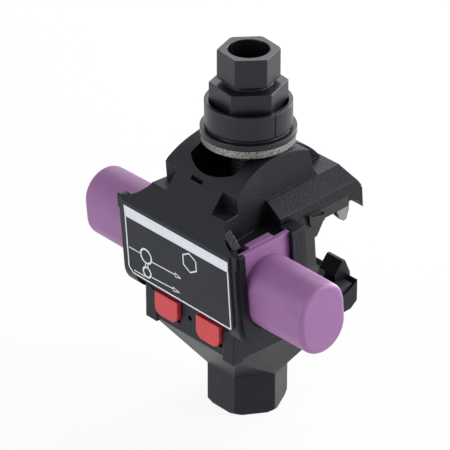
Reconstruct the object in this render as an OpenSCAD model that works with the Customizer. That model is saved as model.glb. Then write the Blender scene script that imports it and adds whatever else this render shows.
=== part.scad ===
// Insulation piercing connector: two nylon jaws drawn together by one bolt and a shear-head nut.
// The bolt stands on Z, both cables run along X, the tap side faces -Y and the main side faces +Y.

/* [Pose] */
// tilt of the upper jaw on its arched saddle, degrees
rock_deg = 4.5; // [0:0.5:4.5]
// height of the middle of the saddle arc
pivot_z = 48.6; // [47:0.1:50]

/* [Shear nut] */
// breakaway hex across flats
top_hex = 12.7; // [11:0.1:14]
// breakaway hex height
top_hex_h = 7.1; // [5:0.1:9]
// gap of the shear neck
neck_h = 1.05; // [0.8:0.05:2]
// wall of the shear neck
neck_wall = 0.8; // [0.5:0.1:1.2]
// removal hex across flats
low_hex = 15.9; // [15:0.1:17]
// removal hex height above the collar rim
low_hex_h = 4.6; // [3.5:0.1:6]
// depth of the removal hex in the collar
hex_seat = 1.2; // [0.8:0.1:2]
// bore that lets the bolt end rise
nut_bore = 9.8; // [9:0.1:10.4]
// diameter of the nut inside the collar
barrel_d = 15.2; // [14:0.1:15.6]
// turn of both hexes about the bolt
hex_turn = 52.6; // [0:0.1:60]
// collar diameter at the rim
collar_d = 20.6; // [20:0.1:22]
// collar height above its flange
collar_h = 6.6; // [5:0.1:8]
// height of the waist above the flange
waist_h = 0.7; // [0.4:0.1:1.2]
// depth of the waist
waist_in = 0.45; // [0.2:0.05:0.8]
// width of the parting groove on the collar
part_w = 0.35; // [0.2:0.05:0.6]
// turn of the parting groove about the bolt
part_turn = -5.6; // [-30:0.1:30]
// collar flange diameter
flange_d = 22.6; // [21.5:0.1:24]
// collar flange height
flange_h = 1.4; // [1:0.1:2]

/* [Washer and bolt] */
// how far the washer stays inside the collar flange
washer_in = 0.25; // [0.1:0.05:1]
// washer thickness
washer_h = 1.9; // [1.2:0.1:2.5]
// bolt shank diameter
bolt_d = 8; // [7:0.1:8.5]
// bolt head across flats
bolt_head = 13; // [12:0.1:13.5]
// bolt head height
bolt_head_h = 5.3; // [4:0.1:6]
// length of the bolt above the collar rim
bolt_end = 2; // [1:0.1:4]
// play of the bolt in plain holes
bolt_play = 0.25; // [0.15:0.05:0.5]
// play of the bolt in the thread of the nut
thread_play = 0.06; // [0.02:0.01:0.1]

/* [Upper jaw] */
// radius of the saddle under the washer
saddle_r = 21.75; // [20:0.05:23]
// half width of the saddle
saddle_x = 11.5; // [10.5:0.1:12]
// half width of the middle of the saddle behind the washer
spine_x = 6; // [4:0.1:8]
// front end of the saddle
slope_y = -12.6; // [-13:0.1:-12]
// half width of the front slope at the guide posts
cheek_x = 12.9; // [12.4:0.1:13.4]
// radius of the flare from the slope to the label plate
flare_r = 10; // [9:0.1:11]
// strip that the flare leaves at the label plate
flare_lip = 0.75; // [0.5:0.05:1.2]
// rim between the recess and the slope
rim = 0.4; // [0.3:0.05:1]
// half width of the recess under the washer
recess_x = 7.5; // [6.5:0.1:8.5]
// depth of the recess under the washer
recess_h = 10.4; // [8:0.1:12]
// inner side of the shoulder pockets
pocket_x = 7.8; // [7:0.1:8.8]
// depth of the shoulder pockets
pocket_h = 5; // [3.5:0.1:6]
// front face of the label plate
plate_y = -22.4; // [-23:0.1:-22]
// half width of the label plate
plate_x = 18.9; // [18:0.1:19.8]
// label plate thickness
plate_t = 1.7; // [1.4:0.1:1.8]
// how far the label plate stands out of the end walls
plate_out = 0.4; // [0.2:0.05:0.8]
// label plate bottom
plate_bottom = 36.4; // [35:0.1:38]
// label plate top
plate_top = 56.4; // [55:0.1:57]
// corner radius of the label plate
plate_corner = 1.5; // [0.8:0.1:3]
// thickness of the slope over the tap channel
shoulder_t = 3; // [2.4:0.1:3.4]
// outer face of the end walls
end_x = 20.8; // [20.4:0.1:22]
// inner face of the end walls
end_in = 16.4; // [16.2:0.1:16.8]
// lowest edge of the end walls
end_bottom = 30.8; // [30:0.1:32]
// corner radius of the end walls
end_corner = 6.5; // [5:0.1:8]
// width of the stepped edge of the end walls
end_edge = 1.1; // [0.6:0.1:1.6]
// depth of the stepped edge of the end walls
end_step = 0.5; // [0.3:0.1:0.8]
// half width of the main roof
roof_x = 16.1; // [15.7:0.1:16.2]
// top of the main roof
roof_z = 60.4; // [59.6:0.1:61.2]
// main roof thickness
roof_t = 6.6; // [5.6:0.1:7.4]
// drop of the bevelled ends of the main roof
roof_drop = 3.2; // [2:0.1:4]
// step in the ends of the main roof
roof_step = 0.3; // [0.1:0.1:0.6]
// outer face of the main lip
lip_y = 22.2; // [21.6:0.1:23]
// length of the main lip below the roof
lip_drop = 5.4; // [4:0.1:6]
// back of the web between the channels
web_y = 3; // [2.4:0.1:3.4]
// lowest edge of the web
web_bottom = 40; // [39:0.1:42]
// half length of the slot that lets the bolt tilt
rock_slot = 7; // [6.4:0.1:7.6]

/* [Tap caps] */
// middle of the tap channel
tap_y = -11.9; // [-12.3:0.1:-11.6]
// cap tube width
cap_w = 13.8; // [12:0.1:14.2]
// cap tube height
cap_h = 18.2; // [16:0.1:19]
// bottom of the cap tube
cap_z = 34.6; // [34.2:0.1:36]
// closed end of the cap
cap_end = 38.4; // [34:0.1:42]
// fillet around the closed end
cap_fillet = 1.2; // [0.6:0.1:2]
// cap wall
cap_wall = 1.6; // [1.2:0.1:2]
// inner face of the cap flange
flange_x = 18.2; // [17.6:0.1:18.8]
// cap flange thickness
flange_t = 1.3; // [1:0.1:1.6]
// how far the cap flange stands out of the tube
flange_out = 0.8; // [0.5:0.1:1]
// height of the cap flange above the tube
flange_rise = 2.9; // [2:0.1:4]
// tap cable bore
tap_bore = 9; // [7:0.1:9.6]

/* [Lower jaw] */
// half width of the lower jaw
lower_x = 15.6; // [15:0.1:15.8]
// front face of the lower jaw
front_y = -18.2; // [-18.4:0.1:-17.8]
// back face of the lower jaw
back_y = 21; // [20.4:0.1:21.6]
// wall bottom
wall_z = 23.8; // [22:0.1:24.6]
// chamfer along the wall bottom
wall_chamfer = 1.2; // [0.6:0.1:1.6]
// boss hex across flats
boss_hex = 17; // [16.6:0.1:18]
// boss height before the flare
boss_h = 10.6; // [9:0.1:12]
// chamfer of the corners of the boss
boss_chamfer = 0.8; // [0.4:0.1:1.2]
// main groove middle
main_y = 14; // [13.6:0.1:14.4]
// main trough radius
trough_r = 9.5; // [9:0.1:10]
// floor under the main trough
trough_floor = 4.2; // [3.8:0.1:5]
// height of the middle of the jaw above the wall bottom
hub_h = 7.2; // [6.4:0.1:8]
// height of the tap side walls
front_h = 9.2; // [8.6:0.1:9.6]
// floor under the tap tray
tray_floor = 3.7; // [3:0.1:4.2]
// front wall of the tap tray
tray_wall = 2.2; // [1.6:0.1:2.6]
// half width of the tap tray
tray_x = 13.8; // [13:0.1:14.2]
// back of the tap tray
tray_back = -6.9; // [-7.4:0.1:-6.4]
// height of the tap seal above the tray floor
tap_seal_h = 5.1; // [4.4:0.1:5.4]
// radius of the seat of the tap cable
seat_r = 5; // [4.4:0.1:5.4]
// inner side of the prongs
prong_x = 6.5; // [6:0.1:7.4]
// prong width
prong_w = 5.5; // [4.5:0.1:6.5]
// front of the prongs
prong_y = 17; // [16.6:0.1:17.6]
// prong height above the wall bottom
prong_h = 11.3; // [10:0.1:12]
// width of a plug
plug_w = 8.1; // [7:0.1:9]
// height of a plug
plug_h = 5.9; // [5:0.1:6.4]
// bottom of the plugs above the wall bottom
plug_rise = 2.1; // [1.6:0.1:2.4]
// how far the plugs stand out of the wall
plug_out = 1.1; // [0.6:0.1:1.2]
// corner radius of the plugs
plug_corner = 2.2; // [1:0.1:2.8]

/* [Contacts] */
// blade thickness
blade_t = 2; // [1.6:0.1:2.4]
// middle of the upper blades
upper_blade_x = 14; // [13.4:0.1:14.2]
// middle of the lower blades
lower_blade_x = 7.4; // [7:0.1:8]
// height of the bridge of a blade
blade_h = 2.4; // [2:0.1:3]
// depth of the upper blades in the main roof
blade_sunk = 2.6; // [2:0.1:3]
// length of the main teeth of the upper blades below the roof
main_tooth = 6.7; // [5:0.1:7]
// spacing of the teeth
tooth_pitch = 3.2; // [2.8:0.1:3.3]
// half width of a tooth
tooth_w = 1.4; // [1:0.1:1.5]
// spacing of the tap teeth
tap_pitch = 2.5; // [2.3:0.1:2.6]
// half width of a tap tooth
tap_tooth_w = 1.1; // [0.8:0.1:1.2]
// height of the outer teeth
tooth_h = 2.2; // [1.6:0.1:2.8]
// height of the middle tooth
tooth_mid = 0.8; // [0.4:0.1:1.2]
// height of the tap teeth of the lower blades above their floor
tap_reach = 8.2; // [7.4:0.1:8.6]
// thickness of the main groove linings
lining_t = 2.7; // [2:0.1:3]
// thickness of the lining in the main trough
trough_lining = 1.8; // [1.4:0.1:2.2]
// height of the lining in the main trough
lining_rise = 2.1; // [1.8:0.1:2.6]
// half width of the pad over the tap cable
pad_y = 6.2; // [5:0.1:6.6]
// thickness of the lining on the web
web_lining = 3.6; // [3:0.1:4]
// slip fit of pressed-in pieces
slip = 0.05; // [0.02:0.01:0.1]
// running gap under the washer and the nut
seat = 0.04; // [0.02:0.01:0.1]
// air gap between moving pieces
gap = 0.3; // [0.25:0.05:0.4]

/* [Hidden] */
$fn = 64;
hex_out = 2 / sqrt(3);
saddle_top = pivot_z + saddle_r;
washer_d = flange_d - 2 * washer_in;
washer_z = saddle_top + seat;
nut_z = washer_z + washer_h + seat;
collar_top = nut_z + flange_h + collar_h;
low_hex_top = collar_top + low_hex_h;
bolt_top = collar_top + bolt_end;
insert_r = low_hex * hex_out / 2 + slip;
slope_z = pivot_z + sqrt(saddle_r * saddle_r - slope_y * slope_y);
tap_top = plate_top - shoulder_t;
blade_under = tap_top - blade_h;
roof_edge_z = roof_z - roof_drop;
roof_under = roof_z - roof_t;
blade_top = roof_under + blade_sunk;
seal_under = roof_under - lining_t;
lip_tip = roof_under - lip_drop;
step_x = roof_x - roof_step;
wall_in = -0.2;
roof_front = wall_in - 3.8;
core_back = main_y - 1.6;
arc_back = core_back - 2.5;
arc_z = pivot_z + sqrt(saddle_r * saddle_r - arc_back * arc_back);
lip_in = main_y + 3.6;
lip_root = seal_under + 1.1;
roof_back = lip_in + 1.1;
step_z = roof_under + 1.25;
flare_mid = plate_y + flare_lip + flare_r;
flare_y = flare_mid - sqrt(flare_r * flare_r - (end_x - cheek_x) * (end_x - cheek_x));
end_front = plate_y + plate_out;
cap_r = cap_w / 2;
cap_low = cap_z + cap_r;
cap_high = cap_z + cap_h - cap_r;
cap_mid = cap_z + cap_h / 2;
cap_flange_r = cap_r + flange_out;
cap_flange_top = cap_z + cap_h + flange_rise;
slot_r = cap_r + gap;
channel_y = tap_y + slot_r;
bolt_slot = bolt_d / 2 + 0.7;
bolt_hole = bolt_d / 2 + bolt_play;
hub_top = wall_z + hub_h;
hub_y = main_y - trough_r + 2.5;
front_top = wall_z + front_h;
trough_z = wall_z + trough_floor + trough_r;
tray_z = wall_z + tray_floor;
tap_seat = tray_z + tap_seal_h;
seat_y = tap_y + 0.4;
prong_top = wall_z + prong_h;
plug_bottom = wall_z + plug_rise;
plug_in = tray_wall - slip;
post_x = lower_blade_x + plug_w / 2 + gap;
blade_floor = wall_z + 0.8;
blade_front = front_y + tray_wall + 0.6;
blade_back = main_y + tooth_pitch + tooth_w;
tap_span = tap_pitch + tap_tooth_w;
tooth_tip = roof_under - main_tooth;
tooth_back = main_y + 4.8;

// draws a (Y, Z) outline between two X planes
module across(x0, x1) {
  translate([x0, 0, 0]) rotate([90, 0, 90]) linear_extrude(x1 - x0) children();
}

// draws an (X, Z) outline between two Y planes
module along(y0, y1) {
  translate([0, y1, 0]) rotate([90, 0, 0]) linear_extrude(y1 - y0) children();
}

// repeats its children on the other side of the YZ plane
module both() {
  children();
  mirror([1, 0, 0]) children();
}

// tilts the upper jaw group about the middle of its saddle arc
module rocked() {
  translate([0, 0, pivot_z]) rotate([rock_deg, 0, 0]) translate([0, 0, -pivot_z]) children();
}

// a hexagon of the given width across flats
module hexagon(flats) {
  circle(d = flats * hex_out, $fn = 6);
}

// a rectangle from one corner to the other
module area(a, b) {
  translate(a) square([b[0] - a[0], b[1] - a[1]]);
}

// an upright outline with round ends, on the cap middle
module upright(r) {
  translate([tap_y, cap_low]) circle(r);
  translate([tap_y, cap_high]) circle(r);
  area([tap_y - r, cap_low], [tap_y + r, cap_high]);
}

// a slot with a round bottom, open upwards, on the cap middle
module cradle(r, top) {
  translate([tap_y, cap_low]) circle(r);
  area([tap_y - r, cap_low], [tap_y + r, top]);
}

// three teeth on the line at z: a low one between two tall ones
function teeth(y, pitch, half, z, tall, low) = [for (i = [-1:1]) each [[y + i * pitch - half, z],
  [y + i * pitch, z + (i == 0 ? low : tall)], [y + i * pitch + half, z]]];

// part of the saddle disc between two planes, seen along X
module saddle(y0, z0, y1) {
  intersection() {
    translate([0, pivot_z]) circle(saddle_r, $fn = 128);
    area([y0, z0], [y1, saddle_top + 1]);
  }
}

// saddle, front slope and middle column, seen along X
module core_outline() {
  difference() {
    union() {
      saddle(slope_y, web_bottom + 5, arc_back);
      polygon([[plate_y, plate_top], [slope_y, slope_z], [slope_y, tap_top], [plate_y, tap_top]]);
      polygon([[arc_back - 0.1, arc_z], [core_back - 1.2, roof_z + 1.6], [core_back, roof_z],
        [core_back, roof_under], [arc_back - 0.1, roof_under]]);
    }
    area([plate_y + plate_t, web_bottom], [channel_y, tap_top]);
    area([web_y, web_bottom], [core_back + 1, roof_under]);
  }
}

// sides of the saddle and the flare of the slope, seen from above
module core_plan() {
  polygon([[-saddle_x, core_back + 1], [saddle_x, core_back + 1], [saddle_x, roof_front - 1],
    [cheek_x, flare_y], [-cheek_x, flare_y], [-saddle_x, roof_front - 1]]);
  difference() {
    union() {
      area([-plate_x, plate_y], [plate_x, flare_y]);
      area([-end_x, end_front], [end_x, flare_y]);
    }
    both() translate([end_x, flare_mid]) circle(flare_r);
  }
}

// room for an upper blade in the piece around it
module blade_slot(a, b) {
  across(upper_blade_x - blade_t / 2 - slip, upper_blade_x + blade_t / 2 + slip) area(a, b);
}

// hook over the main groove with bevelled and stepped ends
module roof() {
  intersection() {
    across(-roof_x, roof_x) difference() {
      union() {
        area([roof_front, roof_under], [roof_back, roof_z]);
        polygon([[roof_back, roof_z], [lip_y - 2.1, roof_edge_z + 0.4], [lip_y - 0.7, roof_under + 1.7],
          [lip_y, roof_under + 0.2], [lip_y, lip_tip], [lip_y - 1.2, lip_tip], [lip_in, lip_root],
          [lip_in, roof_under], [roof_back, roof_under]]);
        area([lip_in, lip_root], [lip_y - 1.2, roof_under]);
      }
      translate([lip_in, lip_tip - 1]) circle(lip_root - lip_tip + 1);
    }
    along(roof_front, lip_y + 1) both() polygon([[0, lip_tip - 1], [step_x, lip_tip - 1],
      [step_x, step_z], [roof_x, step_z], [roof_x, roof_edge_z], [saddle_x + 0.4, roof_z], [0, roof_z]]);
  }
}

// outline of an end wall with two round lower corners, drawn smaller by the inset
module end_outline(inset) {
  for (y = [end_front + end_corner, wall_in - end_corner])
    translate([y, end_bottom + end_corner]) circle(end_corner - inset);
  area([end_front + end_corner, end_bottom + inset], [wall_in - end_corner, plate_top]);
  area([end_front + inset, end_bottom + end_corner], [wall_in - inset, plate_top]);
}

// one end wall with a stepped edge and the open slot that holds a cap
module end_wall() {
  difference() {
    across(end_in, end_x) difference() {
      end_outline(0);
      area([tap_y, plate_top - 0.6], [wall_in + 1, plate_top + 1]);
      cradle(slot_r, plate_top + 5);
    }
    across(flange_x - gap / 2, flange_x + flange_t + gap / 2) cradle(cap_flange_r + gap, plate_top + 5);
    across(end_x - end_step, end_x + 1) difference() {
      area([plate_y - 1, end_bottom - 1], [wall_in + 1, plate_top + 1]);
      end_outline(end_edge);
    }
  }
}

// room for the bolt as the upper jaw rocks
module bolt_room() {
  translate([0, 0, web_bottom - 1]) linear_extrude(saddle_top) {
    translate([0, rock_slot - bolt_slot]) circle(bolt_slot);
    translate([0, bolt_slot - rock_slot]) circle(bolt_slot);
    area([-bolt_slot, bolt_slot - rock_slot], [bolt_slot, rock_slot - bolt_slot]);
  }
}

// label plate with rounded lower corners
module label_plate() {
  along(plate_y, plate_y + plate_t) difference() {
    area([-plate_x, plate_bottom], [plate_x, plate_top]);
    both() translate([plate_x - plate_corner, plate_bottom + plate_corner]) difference() {
      area([0, -plate_corner - 1], [plate_corner + 1, 0]);
      circle(plate_corner);
    }
  }
}

// one upper jaw moulding
module upper_jaw() {
  color([0.16, 0.16, 0.17]) rocked() difference() {
    union() {
      intersection() {
        across(-end_x, end_x) core_outline();
        translate([0, 0, web_bottom]) linear_extrude(saddle_top) core_plan();
      }
      across(-spine_x, spine_x) saddle(arc_back - 1, roof_z - 0.6, saddle_r);
      roof();
      both() end_wall();
      label_plate();
      // wall between the tap and main channels, and the web under it
      across(-end_in - 0.5, end_in + 0.5) area([channel_y, cap_mid + 3], [wall_in, roof_under]);
      across(-step_x, step_x) area([wall_in - 1, web_bottom + 3], [web_y, roof_under + 1]);
      // guide posts beside the slope
      both() along(flare_y - 0.85, flare_y + 1.6) polygon([[cheek_x - 1, tap_top],
        [end_in - gap, tap_top], [end_in - gap, plate_top - 1.1], [cheek_x - 1, plate_top + 3]]);
      // ceiling over the ends of the tap channel
      both() across(cheek_x - 1, end_in - gap) area([end_front, tap_top], [wall_in - 1, tap_top + 1.2]);
    }
    // recess that lets the bolt tilt
    translate([0, 0, saddle_top - recess_h]) linear_extrude(recess_h + 1) intersection() {
      circle(-slope_y - rim);
      area([-recess_x, slope_y], [recess_x, rock_slot + 1]);
    }
    bolt_room();
    // shoulder pockets and the small slot in the slope
    both() translate([pocket_x, flare_y - 1, slope_z - pocket_h])
      cube([cheek_x, slope_y - flare_y + 1 - 2 * rim, 2 * pocket_h]);
    translate([-3, slope_y - 1.5, slope_z - pocket_h]) cube([4, 0.9, 2 * pocket_h]);
    // slots that hold the upper blades
    both() blade_slot([tap_y + tap_span, blade_under - slip], [web_y + 1, tap_top]);
    both() blade_slot([web_y + 1 - slip, web_bottom], [tooth_back + slip, blade_top + slip]);
  }
}

// room for a lower blade in the piece around it
module lower_slot(y0, y1) {
  across(lower_blade_x - blade_t / 2 - slip, lower_blade_x + blade_t / 2 + slip)
    area([y0, blade_floor], [y1, prong_top]);
}

// thin slab under the walls of the lower jaw, drawn smaller by the inset
module wall_slab(z, inset) {
  translate([inset - lower_x, front_y + inset, z])
    cube([2 * (lower_x - inset), back_y - 2 - front_y - 2 * inset, 0.1]);
}

// hex boss with chamfered corners at its end
module boss() {
  intersection() {
    linear_extrude(boss_h + 4) hexagon(boss_hex);
    union() {
      cylinder(h = boss_chamfer, r1 = boss_hex * hex_out / 2 - boss_chamfer,
        r2 = boss_hex * hex_out / 2 + 0.1);
      translate([0, 0, boss_chamfer]) cylinder(h = boss_h + 4, r = boss_hex);
    }
  }
}

// one lower jaw moulding with its boss
module lower_jaw() {
  color([0.17, 0.17, 0.18]) difference() {
    union() {
      boss();
      hull() {
        translate([0, 0, boss_h]) linear_extrude(0.2) hexagon(boss_hex);
        wall_slab(wall_z - wall_chamfer, wall_chamfer);
      }
      hull() {
        wall_slab(wall_z - wall_chamfer, wall_chamfer);
        wall_slab(wall_z, 0);
      }
      across(-lower_x, lower_x) difference() {
        polygon([[front_y, wall_z], [back_y - 2, wall_z], [back_y, wall_z + 1.6], [back_y, hub_top + 0.1],
          [main_y, hub_top + 2], [hub_y, hub_top], [tray_back - 0.1, hub_top],
          [tray_back - 0.1, front_top], [front_y, front_top]]);
        translate([main_y, trough_z]) circle(trough_r);
      }
      // corner posts with sloping tops
      both() along(front_y - 0.3, front_y + 2.7) polygon([[post_x, wall_z - 0.9], [lower_x, wall_z - 0.9],
        [lower_x, front_top - 0.8], [post_x, front_top - 2.3]]);
      // prongs behind the main groove
      both() across(prong_x, prong_x + prong_w) polygon([[prong_y, wall_z + 4.2], [prong_y, prong_top - 3.1],
        [prong_y + 0.6, prong_top], [back_y - 0.7, prong_top], [back_y - 0.1, prong_top - 1.4],
        [back_y + 1, prong_top - 3.9], [back_y + 1, wall_z + 2.7], [back_y - 0.6, wall_z + 1.2]]);
    }
    // tap side tray and the seat of the cable across its ends
    translate([-tray_x, front_y + tray_wall, tray_z])
      cube([2 * tray_x, tray_back - front_y - tray_wall, front_h]);
    across(-lower_x - 1, lower_x + 1) tap_groove();
    // bolt passage and its captive head seat
    translate([0, 0, -1]) cylinder(h = prong_top, r = bolt_hole);
    translate([0, 0, -1]) linear_extrude(1 + bolt_head_h + slip) hexagon(bolt_head + 2 * slip);
    // blade slots and plug pockets
    both() lower_slot(blade_front - slip, blade_back + slip);
    both() translate([lower_blade_x - plug_w / 2 - slip, front_y - 1, plug_bottom - slip])
      cube([plug_w + 2 * slip, 1 + tray_wall + slip, plug_h + 2 * slip]);
    // vent hole between the plugs
    translate([0, front_y - 1, plug_bottom + plug_h / 2]) rotate([-90, 0, 0]) cylinder(h = 3, d = 1.3);
  }
}

// groove that the tap cable lies in, seen along X
module tap_groove() {
  translate([seat_y, tap_seat + seat_r - 1.4]) circle(seat_r);
}

// bolt with its head held in the boss
module bolt() {
  color([0.55, 0.56, 0.58]) {
    linear_extrude(bolt_head_h) hexagon(bolt_head);
    cylinder(h = bolt_top - bolt_d / 10, d = bolt_d);
    translate([0, 0, bolt_top - bolt_d / 10]) cylinder(h = bolt_d / 10, d1 = bolt_d, d2 = 0.8 * bolt_d);
  }
}

// steel washer on the saddle
module washer() {
  color([0.66, 0.67, 0.68]) translate([0, 0, washer_z]) difference() {
    cylinder(h = washer_h, d = washer_d, $fn = 96);
    translate([0, 0, -1]) cylinder(h = washer_h + 2, r = bolt_hole);
  }
}

// double hex nut with its shear neck
module shear_nut() {
  color([0.2, 0.2, 0.21]) rotate([0, 0, hex_turn]) difference() {
    union() {
      translate([0, 0, nut_z + flange_h]) cylinder(h = collar_h - hex_seat, d = barrel_d);
      translate([0, 0, collar_top - hex_seat]) linear_extrude(low_hex_h + hex_seat) hexagon(low_hex);
      translate([0, 0, low_hex_top - 0.1]) cylinder(h = neck_h + 0.2, d = nut_bore + 2 * neck_wall);
      translate([0, 0, low_hex_top + neck_h]) intersection() {
        linear_extrude(top_hex_h) hexagon(top_hex);
        cylinder(h = top_hex_h, r1 = top_hex + top_hex_h, r2 = top_hex * hex_out / 2 - 0.25);
      }
    }
    translate([0, 0, collar_top]) cylinder(h = low_hex_h + neck_h + top_hex_h + 1, d = nut_bore);
    translate([0, 0, nut_z]) cylinder(h = flange_h + collar_h + 1, r = bolt_d / 2 + thread_play);
  }
}

// insulating skirt around the nut
module nut_collar() {
  color([0.18, 0.18, 0.19]) translate([0, 0, nut_z]) difference() {
    union() {
      cylinder(h = flange_h, d = flange_d, $fn = 96);
      translate([0, 0, flange_h]) cylinder(h = waist_h, d = collar_d - 2 * waist_in, $fn = 96);
      translate([0, 0, flange_h + waist_h]) cylinder(h = collar_h - waist_h, d = collar_d, $fn = 96);
    }
    translate([0, 0, flange_h + collar_h - hex_seat]) cylinder(h = hex_seat + 1, r = insert_r);
    translate([0, 0, flange_h]) cylinder(h = collar_h, r = barrel_d / 2 + slip);
    translate([0, 0, -1]) cylinder(h = flange_h + 2, r = bolt_hole);
    // parting groove
    rotate([0, 0, part_turn]) translate([collar_d / 2 - 0.3, -part_w / 2, flange_h + waist_h])
      cube([1, part_w, collar_h]);
  }
}

// one elastomer cap with the flange that sits in the end wall
module cap() {
  difference() {
    union() {
      hull() {
        across(flange_x + 0.5, flange_x + 0.6) upright(cap_r);
        for (a = [0:22.5:90]) translate([cap_fillet * (sin(a) - 1), 0, 0])
          across(cap_end - 0.05, cap_end) upright(cap_r - 0.12 + cap_fillet * (cos(a) - 1));
      }
      across(flange_x, flange_x + flange_t) cradle(cap_flange_r, cap_flange_top);
      across(end_in, flange_x + 0.1) difference() {
        cradle(cap_r - 0.1, cap_flange_top + 0.2);
        area([tap_y - cap_r, cap_high + 2], [tap_y - 3.6, cap_flange_top + 1]);
        area([tap_y + 3.6, cap_high + 2], [tap_y + cap_r, cap_flange_top + 1]);
      }
    }
    across(flange_x + 2, cap_end - cap_wall - 1) upright(cap_r - cap_wall);
    translate([0, tap_y, cap_mid]) rotate([0, 90, 0]) cylinder(h = flange_x + 3, d = tap_bore);
  }
}

// cap on the +X end
module right_cap() {
  color([0.62, 0.42, 0.64]) rocked() cap();
}

// cap on the -X end
module left_cap() {
  color([0.62, 0.42, 0.64]) rocked() mirror([1, 0, 0]) cap();
}

// toothed contact that bridges tap and main under the roof
module upper_blade() {
  color([0.72, 0.73, 0.74]) rocked() across(upper_blade_x - blade_t / 2, upper_blade_x + blade_t / 2)
    polygon(concat([[tap_y - tap_span, tap_top]],
      teeth(tap_y, tap_pitch, tap_tooth_w, blade_under, -tooth_h, -tooth_mid),
      [[main_y - 6, blade_under], [main_y - 5.4, tooth_tip + 3.3], [main_y - 4.4, tooth_tip + 3.1],
        [main_y - 2.4, roof_under - 1.4], [main_y + 0.2, roof_under - 2.2], [main_y + 1.2, tooth_tip + 1.5],
        [main_y + 2.4, tooth_tip], [main_y + 3.4, tooth_tip], [main_y + 4.4, tooth_tip + 2.3],
        [tooth_back, roof_under - 1.4], [tooth_back, blade_top], [web_y + 1, blade_top],
        [web_y + 1, tap_top]]));
}

// upper contact near the +X end
module upper_blade_right() {
  upper_blade();
}

// upper contact near the -X end
module upper_blade_left() {
  mirror([1, 0, 0]) upper_blade();
}

// toothed contact that bridges tap and main in the lower jaw
module lower_blade() {
  color([0.72, 0.73, 0.74]) across(lower_blade_x - blade_t / 2, lower_blade_x + blade_t / 2)
    polygon(concat([[blade_front, blade_floor], [blade_back, blade_floor]],
      teeth(main_y, -tooth_pitch, -tooth_w, blade_floor + 5, tooth_h, tooth_mid),
      [[2 * main_y - blade_back, blade_floor + blade_h], [seat_y + tap_span, blade_floor + blade_h]],
      teeth(seat_y, -tap_pitch, -tap_tooth_w, blade_floor + tap_reach, tooth_h, tooth_mid),
      [[seat_y - tap_span, blade_floor + blade_h], [blade_front, blade_floor + blade_h]]));
}

// lower contact near the +X end
module lower_blade_right() {
  lower_blade();
}

// lower contact near the -X end
module lower_blade_left() {
  mirror([1, 0, 0]) lower_blade();
}

// rubber lining under the roof and down the web
module upper_main_seal() {
  color([0.1, 0.1, 0.11]) rocked() difference() {
    across(-step_x, step_x) {
      area([web_y, web_bottom], [web_y + web_lining, roof_under]);
      area([web_y, seal_under], [lip_in, roof_under]);
      translate([web_y + web_lining, seal_under]) polygon([[0, -3.8], [0.8, -3.6], [3.3, 0], [0, 0]]);
    }
    both() blade_slot([web_y - 1, blade_under - 0.9], [tooth_back + 1, roof_z]);
    bolt_room();
  }
}

// rubber pad under the tap channel ceiling
module upper_tap_seal() {
  color([0.1, 0.1, 0.11]) rocked() difference() {
    across(gap - end_in, end_in - gap) area([tap_y - pad_y, blade_under], [tap_y + pad_y, tap_top]);
    both() blade_slot([tap_y - tap_span - slip, web_bottom], [tap_y + pad_y + 1, roof_z]);
  }
}

// rubber lining of the main trough
module lower_main_seal() {
  color([0.1, 0.1, 0.11]) difference() {
    across(-lower_x + 0.6, lower_x - 0.6) difference() {
      translate([main_y, trough_z]) circle(trough_r);
      translate([main_y, trough_z]) circle(trough_r - trough_lining);
      area([main_y - trough_r - 1, trough_z - trough_r + lining_rise],
        [main_y + trough_r + 1, trough_z + trough_r]);
    }
    both() lower_slot(2 * main_y - blade_back - slip, blade_back + slip);
    both() across(prong_x - slip, prong_x + prong_w + slip)
      area([prong_y - slip, wall_z], [back_y, front_top]);
  }
}

// rubber seat of the tap cable
module lower_tap_seal() {
  color([0.1, 0.1, 0.11]) difference() {
    across(0.4 - tray_x, tray_x - 0.4) difference() {
      area([front_y + tray_wall, tray_z], [tray_back, tap_seat]);
      tap_groove();
    }
    both() lower_slot(seat_y - tap_span - slip, seat_y + tap_span + slip);
  }
}

// red plug that closes a blade pocket
module plug() {
  color([0.88, 0.3, 0.32]) along(front_y - plug_out, front_y + plug_in)
    translate([lower_blade_x, plug_bottom]) difference() {
      area([-plug_w / 2, 0], [plug_w / 2, plug_h]);
      both() translate([plug_w / 2 - plug_corner, plug_corner]) difference() {
        area([0, -plug_corner - 1], [plug_corner + 1, 0]);
        circle(plug_corner);
      }
    }
}

// plug near the +X end
module right_plug() {
  plug();
}

// plug near the -X end
module left_plug() {
  mirror([1, 0, 0]) plug();
}

lower_jaw();
upper_jaw();
bolt();
washer();
shear_nut();
nut_collar();
left_cap();
right_cap();
upper_blade_left();
upper_blade_right();
lower_blade_left();
lower_blade_right();
upper_main_seal();
upper_tap_seal();
lower_main_seal();
lower_tap_seal();
left_plug();
right_plug();
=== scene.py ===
# Insulation piercing connector: two black jaws on one bolt, purple tap caps, red plugs, shear-head nut.
import math

import bmesh
import bpy
from mathutils import Matrix, Vector


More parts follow.
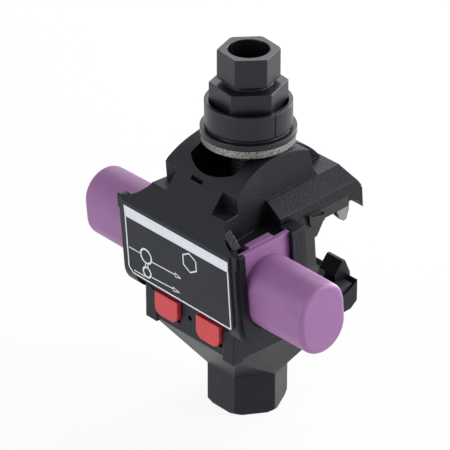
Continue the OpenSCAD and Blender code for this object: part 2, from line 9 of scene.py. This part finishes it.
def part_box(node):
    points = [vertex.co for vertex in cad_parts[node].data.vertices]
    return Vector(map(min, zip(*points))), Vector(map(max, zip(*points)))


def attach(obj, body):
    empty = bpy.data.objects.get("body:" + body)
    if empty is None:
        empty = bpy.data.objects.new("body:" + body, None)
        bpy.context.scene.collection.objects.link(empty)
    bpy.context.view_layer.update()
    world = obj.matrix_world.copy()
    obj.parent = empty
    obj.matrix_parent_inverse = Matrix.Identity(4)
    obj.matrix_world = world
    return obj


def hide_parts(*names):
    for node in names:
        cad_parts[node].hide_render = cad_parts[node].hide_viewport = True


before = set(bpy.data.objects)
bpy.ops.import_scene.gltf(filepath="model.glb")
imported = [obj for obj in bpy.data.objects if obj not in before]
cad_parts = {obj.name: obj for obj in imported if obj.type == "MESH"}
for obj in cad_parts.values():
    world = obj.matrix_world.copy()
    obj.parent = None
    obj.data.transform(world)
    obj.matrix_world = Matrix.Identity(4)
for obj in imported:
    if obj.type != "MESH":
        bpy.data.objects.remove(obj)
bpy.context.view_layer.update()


# Lower jaw: one moulding with a hex boss below, a tray for the tap cable in front, the main trough behind.
# It is glass-filled nylon straight from the mould, so its faces are matt, its corners are slightly rounded,
# and a fine fibre grain breaks up the shine.
def linear(code):
    """Turns an sRGB hex colour into the linear colour that a shader takes."""
    channels = [int(code[i:i + 2], 16) / 255 for i in (1, 3, 5)]
    return [*(c / 12.92 if c <= 0.04045 else ((c + 0.055) / 1.055) ** 2.4 for c in channels), 1.0]


def add(tree, kind, settings=(), **inputs):
    """Adds one shader node, sets its properties, and fills or links its inputs."""
    node = tree.nodes.new(kind)
    for name, value in dict(settings).items():
        setattr(node, name, value)
    for name, value in inputs.items():
        key = int(name[1:]) if name[0] == "_" else name.replace("_", " ")
        socket = node.inputs[key]
        if isinstance(value, bpy.types.NodeSocket):
            tree.links.new(value, socket)
        else:
            socket.default_value = value
    return node


def new_material(name):
    """Starts an empty material and returns it with its tree."""
    material = bpy.data.materials.new(name)
    material.use_nodes = True
    material.node_tree.nodes.clear()
    return material, material.node_tree


same_point = 2e-6
crisp_deg = 32


def smooth(piece):
    """Keeps curved faces smooth and flat faces crisp."""
    for polygon in piece.data.polygons:
        polygon.use_smooth = True
    weld = piece.modifiers.new("weld", "WELD")
    weld.merge_threshold = same_point
    crisp = piece.modifiers.new("crisp", "EDGE_SPLIT")
    crisp.split_angle = math.radians(crisp_deg)
    normals = piece.modifiers.new("normals", "WEIGHTED_NORMAL")
    normals.keep_sharp = True


def set_out(name, data):
    """Puts a new object with that data into the scene."""
    piece = bpy.data.objects.new(name, data)
    bpy.context.scene.collection.objects.link(piece)
    return piece


def piece_from(shape, name, material):
    """Turns a mesh that is being built into a piece of one material."""
    data = bpy.data.meshes.new(name)
    shape.to_mesh(data)
    shape.free()
    data.materials.append(material)
    return set_out(name, data)


def bar(name, outline, inner, outer, material, turned=Matrix()):
    """A solid bar along X between two ends, from its (y, z) outline in millimetres."""
    shape = bmesh.new()
    ends = [[shape.verts.new(turned @ (Vector((x, y, z)) / 1000)) for y, z in outline]
            for x in (inner, outer)]
    for end in ends:
        shape.faces.new(end)
    near, far = ends
    for i in range(len(outline)):
        shape.faces.new((near[i - 1], near[i], far[i], far[i - 1]))
    bmesh.ops.recalc_face_normals(shape, faces=shape.faces)
    return piece_from(shape, name, material)


nylon, tree = new_material("glass_filled_nylon_moulded")
# Real fibres are finer than a pixel, so their grain is drawn as coarse as it needs to show.
# The small radius of the edges is made in the material, here and in the pieces below.
fibre_mm, flow_mm, grain_mm, edge_mm = 0.55, 7.0, 0.16, 0.35
rounding = {"samples": 8}
place = add(tree, "ShaderNodeTexCoord").outputs["Object"]
edge = add(tree, "ShaderNodeBevel", rounding, Radius=edge_mm / 1000)
fibre = add(tree, "ShaderNodeTexNoise", Vector=place, Scale=1000 / fibre_mm, Detail=2.0)
flow = add(tree, "ShaderNodeTexNoise", Vector=place, Scale=1000 / flow_mm, Detail=3.0)
tone = add(tree, "ShaderNodeMix", {"data_type": "RGBA"}, _0=fibre.outputs["Fac"],
           _6=linear("#08090B"), _7=linear("#121317"))
dull = add(tree, "ShaderNodeMapRange", Value=flow.outputs["Fac"], To_Min=0.34, To_Max=0.5)
grain = add(tree, "ShaderNodeBump", Height=fibre.outputs["Fac"], Strength=0.6,
            Distance=grain_mm / 1000, Normal=edge.outputs[0])
skin = add(tree, "ShaderNodeBsdfPrincipled", Base_Color=tone.outputs[2], Roughness=dull.outputs[0],
           IOR=1.53, Specular_IOR_Level=0.3, Specular_Tint=linear("#DCE3F5"), Normal=grain.outputs[0])
add(tree, "ShaderNodeOutputMaterial", Surface=skin.outputs[0])

# The two prongs behind the trough lean back on their inner side, up to a narrow top edge.
# Above each blade's last tooth a small bridge lets the slope run over the prong's whole width.
slope_front_mm, slope_low_mm, prong_edge_mm, edge_band_mm = 17.0, 32.0, 19.5, 0.1
bridge_in_mm, bridge_out_mm, bridge_back_mm = 6.5, 8.6, 20.0
jaw_top_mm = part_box("lower_jaw")[1][2] * 1000
jaw_mesh = bmesh.new()
jaw_mesh.from_mesh(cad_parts["lower_jaw"].data)
bmesh.ops.remove_doubles(jaw_mesh, verts=jaw_mesh.verts, dist=same_point)
for corner in jaw_mesh.verts:
    if corner.co.z * 1000 > jaw_top_mm - edge_band_mm:
        corner.co.y = max(corner.co.y, prong_edge_mm / 1000)
bmesh.ops.dissolve_degenerate(jaw_mesh, edges=jaw_mesh.edges, dist=same_point / 2)
moulded_lower_jaw = piece_from(jaw_mesh, "moulded_lower_jaw", nylon)
bridge_line = [(slope_front_mm, slope_low_mm), (prong_edge_mm, jaw_top_mm),
               (bridge_back_mm, jaw_top_mm), (bridge_back_mm, slope_low_mm)]
for inner, outer in ((bridge_in_mm, bridge_out_mm), (-bridge_out_mm, -bridge_in_mm)):
    bridge = bar("prong_bridge", bridge_line, inner, outer, nylon)
    join = moulded_lower_jaw.modifiers.new("join", "BOOLEAN")
    join.operation, join.solver, join.object = "UNION", "EXACT", bridge
    joined = moulded_lower_jaw.evaluated_get(bpy.context.evaluated_depsgraph_get())
    moulded_lower_jaw.data = bpy.data.meshes.new_from_object(joined)
    moulded_lower_jaw.modifiers.remove(join)
    bpy.data.meshes.remove(bridge.data)
smooth(moulded_lower_jaw)
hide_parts("lower_jaw")
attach(moulded_lower_jaw, "base")

# Bolt: a steel bolt whose head sits captive in the boss and whose end shows down the nut's bore.
# Its rolled M8 thread starts inside the lower jaw, climbs 1.25 mm a turn, and ends in a chamfer.
# Its near-black colour is painted shade for the recess and the nut's bore. It is dull, with slightly paler
# patches.
shade_dark_bolt_metal, tree = new_material("bolt_metal_painted_shade_dark")
patch_mm, edge_mm = 1.6, 0.15
place = add(tree, "ShaderNodeTexCoord").outputs["Object"]
edge = add(tree, "ShaderNodeBevel", rounding, Radius=edge_mm / 1000)
patch = add(tree, "ShaderNodeTexNoise", Vector=place, Scale=1000 / patch_mm, Detail=4.0)
tone = add(tree, "ShaderNodeMix", {"data_type": "RGBA"}, _0=patch.outputs["Fac"],
           _6=linear("#19191A"), _7=linear("#2B2B2C"))
skin = add(tree, "ShaderNodeBsdfPrincipled", Base_Color=tone.outputs[2], Metallic=0.6, Roughness=0.55,
           Normal=edge.outputs[0])
add(tree, "ShaderNodeOutputMaterial", Surface=skin.outputs[0])
bolt_low, bolt_high = (Vector(corner) * 1000 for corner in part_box("bolt"))
crest_mm, root_mm, pitch_mm, chamfer_mm = 4.0, 3.32, 1.25, 0.8
crest_flat, root_flat = 1 / 8, 1 / 4
head_mm, sunk_mm, thread_mm = 5.3, 0.3, 28.0
columns, steps = 40, 8
bolt_mesh = bmesh.new()


def thread_radius(turn, height):
    """Radius of the bolt in millimetres at a share of a turn and a height."""
    off_crest = abs((height / pitch_mm - turn) % 1 - 0.5) * 2
    flank = (off_crest - crest_flat) / (1 - crest_flat - root_flat)
    cut = min(1, max(0, flank))
    start = min(1, max(0, (height - thread_mm) / pitch_mm))
    threaded = crest_mm - (crest_mm - root_mm) * cut * start
    chamfered = crest_mm - chamfer_mm + bolt_high.z - height
    return min(threaded, chamfered)


def bolt_ring(radii, height):
    """Points round the bolt's axis at a height, one for each radius."""
    angles = [2 * math.pi * i / len(radii) for i in range(len(radii))]
    return [bolt_mesh.verts.new(Vector((r * math.cos(a), r * math.sin(a), height)) / 1000)
            for a, r in zip(angles, radii)]


# The shank is sunk a little into the hexagonal head, and each of the two is closed by itself.
heights = [head_mm - sunk_mm, thread_mm]
while heights[-1] < bolt_high.z - pitch_mm / steps:
    heights.append(heights[-1] + pitch_mm / steps)
heights.append(bolt_high.z)
shank = [bolt_ring([thread_radius(i / columns, z) for i in range(columns)], z) for z in heights]
head = [bolt_ring([bolt_high.x] * 6, z) for z in (bolt_low.z, head_mm)]
for rings in (shank, head):
    bolt_mesh.faces.new(rings[0])
    bolt_mesh.faces.new(rings[-1])
    for under, over in zip(rings, rings[1:]):
        for i in range(len(under)):
            bolt_mesh.faces.new((under[i - 1], under[i], over[i], over[i - 1]))
bmesh.ops.recalc_face_normals(bolt_mesh, faces=bolt_mesh.faces)
threaded_bolt = piece_from(bolt_mesh, "threaded_bolt", shade_dark_bolt_metal)
smooth(threaded_bolt)
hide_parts("bolt")
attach(threaded_bolt, "base")


# Contact blades: stamped strips with piercing teeth, set in slots of both jaws.
# Each joins the tap to the main. Their tin plate is pale grey and a little uneven.
def dress(name, material):
    """Gives a CAD piece its material."""
    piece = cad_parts[name]
    piece.data.materials.clear()
    piece.data.materials.append(material)
    for polygon in piece.data.polygons:
        polygon.material_index = 0
    smooth(piece)


tin, tree = new_material("tin_plated_contact")
stamp_mm, ripple_mm, edge_mm = 0.5, 0.05, 0.12
place = add(tree, "ShaderNodeTexCoord").outputs["Object"]
edge = add(tree, "ShaderNodeBevel", rounding, Radius=edge_mm / 1000)
stamp = add(tree, "ShaderNodeTexNoise", Vector=place, Scale=1000 / stamp_mm, Detail=3.0)
tone = add(tree, "ShaderNodeMix", {"data_type": "RGBA"}, _0=stamp.outputs["Fac"],
           _6=linear("#77777A"), _7=linear("#9B9B9D"))
ripple = add(tree, "ShaderNodeBump", Height=stamp.outputs["Fac"], Strength=0.25,
             Distance=ripple_mm / 1000, Normal=edge.outputs[0])
skin = add(tree, "ShaderNodeBsdfPrincipled", Base_Color=tone.outputs[2], Metallic=1.0, Roughness=0.48,
           Normal=ripple.outputs[0])
add(tree, "ShaderNodeOutputMaterial", Surface=skin.outputs[0])
for side in ("left", "right"):
    dress(f"lower_blade_{side}", tin)
    dress(f"upper_blade_{side}", tin)

# Seals: soft rubber linings pressed into the main groove and the tap channel, which close round the cable.
# The rubber is black and duller than the nylon.
rubber, tree = new_material("moulded_epdm_rubber")
bloom_mm, edge_mm = 2.5, 0.25
place = add(tree, "ShaderNodeTexCoord").outputs["Object"]
edge = add(tree, "ShaderNodeBevel", rounding, Radius=edge_mm / 1000)
bloom = add(tree, "ShaderNodeTexNoise", Vector=place, Scale=1000 / bloom_mm, Detail=4.0)
tone = add(tree, "ShaderNodeMix", {"data_type": "RGBA"}, _0=bloom.outputs["Fac"],
           _6=linear("#0E0E10"), _7=linear("#1C1C1F"))
skin = add(tree, "ShaderNodeBsdfPrincipled", Base_Color=tone.outputs[2], Roughness=0.6, IOR=1.5,
           Specular_IOR_Level=0.5, Normal=edge.outputs[0])
add(tree, "ShaderNodeOutputMaterial", Surface=skin.outputs[0])
for name in ("upper_main_seal", "upper_tap_seal", "lower_main_seal", "lower_tap_seal"):
    dress(name, rubber)

# Tabs of the upper main lining: a small hooked ear at each end, moulded with the lining.
# They are folded over its edge, keep it from sliding along the groove, and lean with the jaw.
rock_deg, pivot_mm = 4.5, 48.6
pivot = Matrix.Translation((0, 0, pivot_mm / 1000))
lean = pivot @ Matrix.Rotation(math.radians(rock_deg), 4, "X") @ pivot.inverted()
tab_in_mm, tab_out_mm = 15.7, 16.7
tab_line = [(4.6, 54.3), (5.4, 53.7), (7.4, 53.2), (8.8, 52.9), (9.4, 53.2),
            (9.3, 51.6), (8.2, 50.9), (6.6, 50.9), (5.0, 51.2), (4.5, 52.4)]
for side, inner, outer in (("right", tab_in_mm, tab_out_mm), ("left", -tab_out_mm, -tab_in_mm)):
    tab = bar(f"{side}_seal_tab", tab_line, inner, outer, rubber, lean)
    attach(tab, "jaw_body")

# Plugs: two red pieces pushed into the front wall, which close the pockets of the lower blades.
# They are moulded polypropylene, bright and a little waxy, with rounded corners.
polypropylene, tree = new_material("red_polypropylene_moulded")
swirl_mm, edge_mm = 3.0, 0.5
place = add(tree, "ShaderNodeTexCoord").outputs["Object"]
edge = add(tree, "ShaderNodeBevel", rounding, Radius=edge_mm / 1000)
swirl = add(tree, "ShaderNodeTexNoise", Vector=place, Scale=1000 / swirl_mm, Detail=3.0)
tone = add(tree, "ShaderNodeMix", {"data_type": "RGBA"}, _0=swirl.outputs["Fac"],
           _6=linear("#C8323A"), _7=linear("#DA4248"))
skin = add(tree, "ShaderNodeBsdfPrincipled", Base_Color=tone.outputs[2], Roughness=0.34, IOR=1.49,
           Normal=edge.outputs[0])
add(tree, "ShaderNodeOutputMaterial", Surface=skin.outputs[0])
for side in ("left", "right"):
    dress(f"{side}_plug", polypropylene)

# Upper jaw: the second moulding, with the arched saddle, the hook over the main groove, the plate in front.
# It is the same nylon as the lower jaw.
dress("upper_jaw", nylon)

# Print on the front plate: a bare white band, a thin border and plain signs of the two cables and the hex.
# It is pad printed in white ink, thin and slightly uneven, on the plate as it leans with the jaw.
plate_mm, ink_mm = -22.4, 0.03
border_mm, ring_mm, sign_mm, arrow_mm = 0.42, 0.5, 0.3, 0.25
ink_mesh = bmesh.new()


def ink(inner, outer):
    """Prints the strip between two lines of (across, up) points in millimetres."""
    rows = [[ink_mesh.verts.new(lean @ (Vector((x, plate_mm - ink_mm, z)) / 1000)) for x, z in line]
            for line in (inner, outer)]
    for i in range(len(inner) - 1):
        ink_mesh.faces.new((rows[0][i], rows[1][i], rows[1][i + 1], rows[0][i + 1]))


def ink_line(points, width):
    """Prints a line of even width through the points."""
    for (x0, z0), (x1, z1) in zip(points, points[1:]):
        length = math.hypot(x1 - x0, z1 - z0)
        u, v = (z0 - z1) / length * width / 2, (x1 - x0) / length * width / 2
        ink([(x0 - u, z0 - v), (x1 - u, z1 - v)], [(x0 + u, z0 + v), (x1 + u, z1 + v)])


def ink_ring(x, z, radius, width, corners=40, turn=0.0):
    """Prints a ring, or the outline of a shape with that many corners."""
    angles = [turn + 2 * math.pi * i / corners for i in range(corners + 1)]
    ink(*([(x + r * math.cos(a), z + r * math.sin(a)) for a in angles]
          for r in (radius - width / 2, radius + width / 2)))


# The band and the border, then the two cable signs with their leads and arrows, then the hexagon.
ink([(-18.0, 52.3), (18.3, 52.4)], [(-18.1, 55.3), (18.4, 55.2)])
ink_line([(-17.8, 52.4), (-18.0, 38.3), (-16.6, 37.0), (18.0, 36.8), (18.2, 52.5)], border_mm)
ink_ring(-11.2, 43.9, 1.9, ring_mm)
ink_ring(-11.3, 39.4, 1.35, ring_mm)
ink_line([(-11.7, 42.0), (-11.7, 40.7)], sign_mm)
ink_line([(-10.8, 42.0), (-10.8, 40.7)], sign_mm)
ink_line([(-17.3, 43.9), (-13.1, 43.9)], sign_mm)
ink_line([(-16.2, 37.9), (-12.2, 37.9), (-12.0, 38.2)], sign_mm)
ink_line([(-9.2, 43.2), (-0.9, 43.4)], sign_mm)
ink_line([(-0.9, 43.9), (1.2, 43.2), (-0.9, 42.8), (-0.9, 43.9)], arrow_mm)
ink_line([(-9.7, 38.7), (-2.0, 39.0)], sign_mm)
ink_line([(-2.0, 39.5), (0.4, 38.9), (-2.0, 38.4), (-2.0, 39.5)], arrow_mm)
ink_ring(4.8, 49.1, 2.6, border_mm, corners=6, turn=math.pi / 2)
bmesh.ops.recalc_face_normals(ink_mesh, faces=ink_mesh.faces)
printed, tree = new_material("white_pad_print_ink")
cover_mm = 0.7
place = add(tree, "ShaderNodeTexCoord").outputs["Object"]
cover = add(tree, "ShaderNodeTexNoise", Vector=place, Scale=1000 / cover_mm, Detail=3.0)
tone = add(tree, "ShaderNodeMix", {"data_type": "RGBA"}, _0=cover.outputs["Fac"],
           _6=linear("#D5DAE4"), _7=linear("#EDF0F7"))
skin = add(tree, "ShaderNodeBsdfPrincipled", Base_Color=tone.outputs[2], Roughness=0.5, IOR=1.5)
add(tree, "ShaderNodeOutputMaterial", Surface=skin.outputs[0])
plate_print = piece_from(ink_mesh, "plate_print", printed)
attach(plate_print, "jaw_body")

# Tap caps: soft caps with a flange that drops into the end walls, over the cut end of the tap cable.
# They are moulded in purple elastomer with a satin, faintly waxy skin.
elastomer, tree = new_material("purple_elastomer_moulded")
cloud_mm, edge_mm = 5.0, 0.35
place = add(tree, "ShaderNodeTexCoord").outputs["Object"]
edge = add(tree, "ShaderNodeBevel", rounding, Radius=edge_mm / 1000)
cloud = add(tree, "ShaderNodeTexNoise", Vector=place, Scale=1000 / cloud_mm, Detail=4.0)
tone = add(tree, "ShaderNodeMix", {"data_type": "RGBA"}, _0=cloud.outputs["Fac"],
           _6=linear("#8A5C8F"), _7=linear("#9A6A9E"))
dull = add(tree, "ShaderNodeMapRange", Value=cloud.outputs["Fac"], To_Min=0.4, To_Max=0.5)
skin = add(tree, "ShaderNodeBsdfPrincipled", Base_Color=tone.outputs[2], Roughness=dull.outputs[0],
           IOR=1.48, Normal=edge.outputs[0])
add(tree, "ShaderNodeOutputMaterial", Surface=skin.outputs[0])
for side in ("left", "right"):
    dress(f"{side}_cap", elastomer)

# Washer: a thick stamped steel washer between the saddle and the nut.
# Its sheared edge is grainy under the zinc, which sparkles in small light and dark specks.
grainy, tree = new_material("sheared_zinc_plated_steel")
# The grains of the steel are finer than a pixel, so the specks are drawn as coarse as they need to show.
speck_mm, pit_mm, edge_mm = 0.32, 0.12, 0.25
place = add(tree, "ShaderNodeTexCoord").outputs["Object"]
edge = add(tree, "ShaderNodeBevel", rounding, Radius=edge_mm / 1000)
speck = add(tree, "ShaderNodeTexVoronoi", Vector=place, Scale=1000 / speck_mm)
tone = add(tree, "ShaderNodeMix", {"data_type": "RGBA"}, _0=speck.outputs["Distance"],
           _6=linear("#A9A8A5"), _7=linear("#3F3F3E"))
pits = add(tree, "ShaderNodeBump", Height=speck.outputs["Distance"], Strength=0.8,
           Distance=pit_mm / 1000, Normal=edge.outputs[0])
skin = add(tree, "ShaderNodeBsdfPrincipled", Base_Color=tone.outputs[2], Metallic=1.0, Roughness=0.45,
           Normal=pits.outputs[0])
add(tree, "ShaderNodeOutputMaterial", Surface=skin.outputs[0])
dress("washer", grainy)

# Shear nut and its collar: the small hex breaks off at the neck and the large one stays.
# The collar is a skirt that insulates the nut. Both are satin black, a little smoother than the jaws.
coated, tree = new_material("black_coated_zinc_casting")
# The skin of a casting is finer than a pixel, so it is drawn as coarse as it needs to show.
cast_mm, peel_mm, edge_mm = 0.4, 0.04, 0.35
place = add(tree, "ShaderNodeTexCoord").outputs["Object"]
edge = add(tree, "ShaderNodeBevel", rounding, Radius=edge_mm / 1000)
cast = add(tree, "ShaderNodeTexNoise", Vector=place, Scale=1000 / cast_mm, Detail=3.0)
tone = add(tree, "ShaderNodeMix", {"data_type": "RGBA"}, _0=cast.outputs["Fac"],
           _6=linear("#08080A"), _7=linear("#121215"))
peel = add(tree, "ShaderNodeBump", Height=cast.outputs["Fac"], Strength=0.18,
           Distance=peel_mm / 1000, Normal=edge.outputs[0])
skin = add(tree, "ShaderNodeBsdfPrincipled", Base_Color=tone.outputs[2], Roughness=0.36, IOR=1.5,
           Specular_IOR_Level=0.52, Specular_Tint=linear("#E2E7F5"), Normal=peel.outputs[0])
add(tree, "ShaderNodeOutputMaterial", Surface=skin.outputs[0])
dress("shear_nut", coated)
dress("nut_collar", coated)


# Studio: a white floor and room, soft boxes at right, left and rear right, a dim one high at the back.
# The floor shows white to the eye and in reflections, and still takes the soft shadow of the part.
# From below it is clear, so that the part shows from there.
def seen_rays(tree):
    """Gives 1 to rays that show the room, straight, mirrored or through glass, and 0 to the others."""
    path = add(tree, "ShaderNodeLightPath")
    seen = path.outputs["Is Camera Ray"]
    for kind in ("Is Glossy Ray", "Is Transmission Ray"):
        both = add(tree, "ShaderNodeMath", {"operation": "MAXIMUM"}, _0=seen, _1=path.outputs[kind])
        seen = both.outputs[0]
    return seen


reach, drop, white_share, room_light = 4.0, 0.0002, 0.9, 0.3
floor_mesh = bpy.data.meshes.new("floor")
floor_mesh.from_pydata([(-reach, -reach, 0), (reach, -reach, 0), (reach, reach, 0), (-reach, reach, 0)],
                       [], [(0, 1, 2, 3)])
floor = set_out("floor", floor_mesh)
floor.location.z = -drop
paper, tree = new_material("white_paper_sweep")
share = add(tree, "ShaderNodeMath", {"operation": "MULTIPLY"}, _0=seen_rays(tree), _1=white_share)
matt = add(tree, "ShaderNodeBsdfDiffuse", Color=linear("#FAFAFA"))
glow = add(tree, "ShaderNodeEmission", Color=(1, 1, 1, 1), Strength=1.0)
top = add(tree, "ShaderNodeMixShader", _0=share.outputs[0], _1=matt.outputs[0], _2=glow.outputs[0])
below = add(tree, "ShaderNodeNewGeometry")
clear = add(tree, "ShaderNodeBsdfTransparent")
sheet = add(tree, "ShaderNodeMixShader", _0=below.outputs["Backfacing"], _1=top.outputs[0],
            _2=clear.outputs[0])
add(tree, "ShaderNodeOutputMaterial", Surface=sheet.outputs[0])
floor_mesh.materials.append(paper)

world = bpy.data.worlds.new("studio")
world.use_nodes = True
tree = world.node_tree
tree.nodes.clear()
room = add(tree, "ShaderNodeBackground", Color=(1, 1, 1, 1), Strength=room_light)
white = add(tree, "ShaderNodeBackground", Color=(1, 1, 1, 1), Strength=1.0)
sky = add(tree, "ShaderNodeMixShader", _0=seen_rays(tree), _1=room.outputs[0], _2=white.outputs[0])
add(tree, "ShaderNodeOutputWorld", Surface=sky.outputs[0])
bpy.context.scene.world = world

# The soft boxes stand round the part as the camera sees it.
# Each row gives the place of one from the part's middle, its width, its height and its watts.
turn, rise = math.radians(48.41), math.radians(29.01)
back = Vector((math.sin(turn) * math.cos(rise), -math.cos(turn) * math.cos(rise), math.sin(rise)))
right = Vector((math.cos(turn), math.sin(turn), 0))
up = back.cross(right)
toward = Vector((back.x, back.y, 0)).normalized()
middle = Vector((0, 0, 0.045))
for name, offset, wide, tall, power in (
        ("right_soft_box", right * 0.75 + toward * 0.1 + Vector((0, 0, 0.2)), 0.5, 0.7, 5.6),
        ("rear_soft_box", right * 0.6 - toward * 0.55 + Vector((0, 0, 0.1)), 0.4, 0.4, 7),
        ("left_soft_box", right * -0.7 + toward * 0.45 + Vector((0, 0, 0.15)), 0.5, 0.6, 3.4),
        ("top_soft_box", Vector((-0.26, 0.56, 0.6)), 0.8, 0.5, 3)):
    lamp = bpy.data.lights.new(name, "AREA")
    lamp.shape = "RECTANGLE"
    lamp.size, lamp.size_y, lamp.energy = wide, tall, power
    box = set_out(name, lamp)
    box.location = middle + offset
    box.rotation_euler = (-offset).to_track_quat("-Z", "Y").to_euler()

# The camera stands where the photograph was taken from, with the focal length in pixels of its frame.
sensor_mm, frame_px, focal_px = 36, 450, 3232.31
distance, aside, lift = 0.76, -0.00542, 0.00184
eye = bpy.data.cameras.new("camera")
eye.sensor_width = sensor_mm
eye.lens = sensor_mm * focal_px / frame_px
eye.clip_start, eye.clip_end = 0.01, 20
camera = set_out("camera", eye)
spot = middle + back * distance + right * aside + up * lift
camera.matrix_world = Matrix.Translation(spot) @ Matrix((right, up, back)).transposed().to_4x4()
bpy.context.scene.camera = camera
bpy.context.scene.view_settings.view_transform = "Standard"
